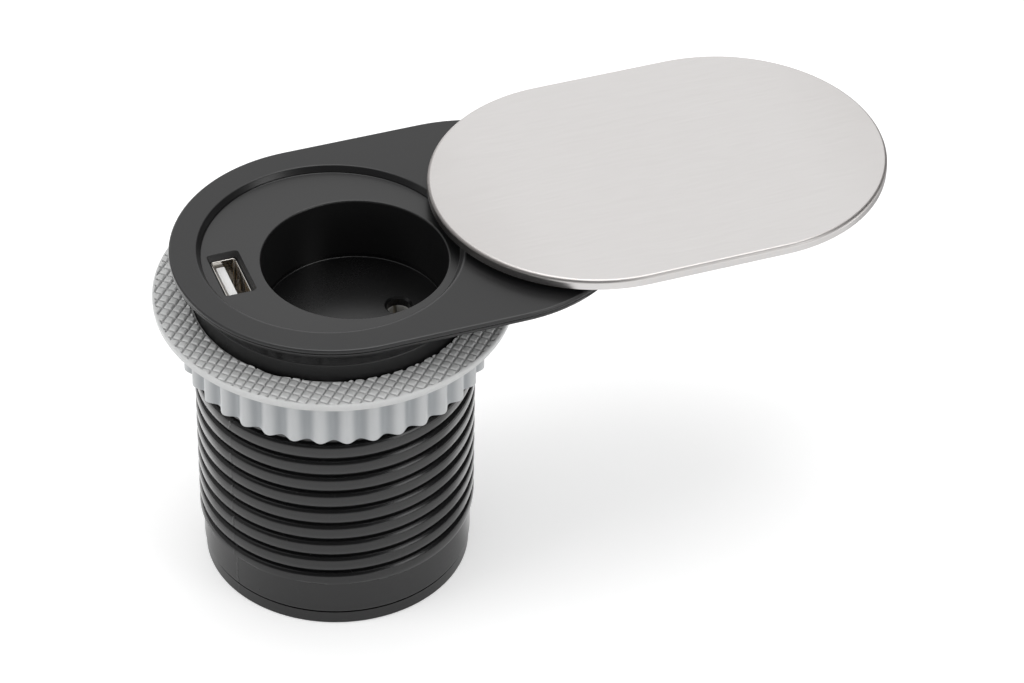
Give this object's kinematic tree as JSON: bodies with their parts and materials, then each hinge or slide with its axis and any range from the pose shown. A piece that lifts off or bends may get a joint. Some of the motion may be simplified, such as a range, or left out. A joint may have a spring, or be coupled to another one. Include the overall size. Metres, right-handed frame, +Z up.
{
  "type": "desk socket",
  "caption": "Round threaded desk grommet with a recessed two-pin mains outlet, a USB charging port, a swivelling steel cover and a fluted clamp nut.",
  "frame": {"origin": "on the barrel's axis in the plane of the plate's underside, which is the desk's top when it is fitted", "axes": "+Z up out of the desk along the barrel, +X along the plate towards the cover's pivot"},
  "size_m": [0.1595, 0.0756, 0.0836],
  "materials": {
    "plate_black": "fine satin moulded, black",
    "insert_black": "satin moulded, black",
    "barrel_black": "semi-gloss moulded, black",
    "bush_rubber": "soft black",
    "screw_steel": "zinc plated",
    "housing_cream": "matt, cream",
    "contact_brass": "drawn brass",
    "contact_gold": "gold flashed",
    "usb_metal": "bright nickel plated",
    "usb_white": "white",
    "board_green": "solder resist, green",
    "core_dark": "ferrite and tape, dark grey",
    "can_blue": "sleeved, dark blue",
    "chip_black": "moulded, black",
    "lead_brown": "insulated, brown",
    "cover_steel": "brushed stainless, rolled edge",
    "carrier_black": "moulded, black",
    "nut_grey": "moulded, light grey"
  },
  "bodies": {
    "housing": {"top_plate": "plate_black", "socket_insert": "insert_black", "threaded_barrel": "barrel_black", "base_cap": "barrel_black", "cable_bush": "bush_rubber", "cap_screws": "screw_steel", "contact_housing": "housing_cream", "live_contact": "contact_brass", "neutral_contact": "contact_brass", "housing_screws": "screw_steel", "terminal_clamps": "contact_brass", "terminal_screws": "screw_steel", "usb_shell": "usb_metal", "usb_tongue": "usb_white", "usb_contacts": "contact_gold", "charger_board": "board_green", "charger_transformer": "core_dark", "charger_capacitors": "can_blue", "charger_chips": "chip_black", "board_leads": "lead_brown"},
    "cover": {"cover_shell": "cover_steel", "cover_carrier": "carrier_black", "pivot_pin": "screw_steel", "pivot_washer": "screw_steel"},
    "washer": {"grip_washer": "nut_grey"},
    "nut": {"clamp_nut": "nut_grey"}
  },
  "joints": [
    {"name": "cover_swing", "type": "hinge", "parent": "housing", "child": "cover", "pos_m": [0.04363, 0, 0], "axis": [0, 0, 1], "range_deg": [0, 180]},
    {"name": "nut_travel", "type": "slide", "parent": "housing", "child": "washer", "axis": [0, 0, 1], "range_m": [-0.0405, 0.0045]},
    {"name": "nut_turn", "type": "hinge", "parent": "washer", "child": "nut", "pos_m": [0, 0, 0], "axis": [0, 0, 1], "range_deg": [-3240, 360]}
  ],
  "couplings": [
    {"joint": "nut_travel", "follows": "nut_turn", "m_per_rad": 0.0007162}
  ]
}
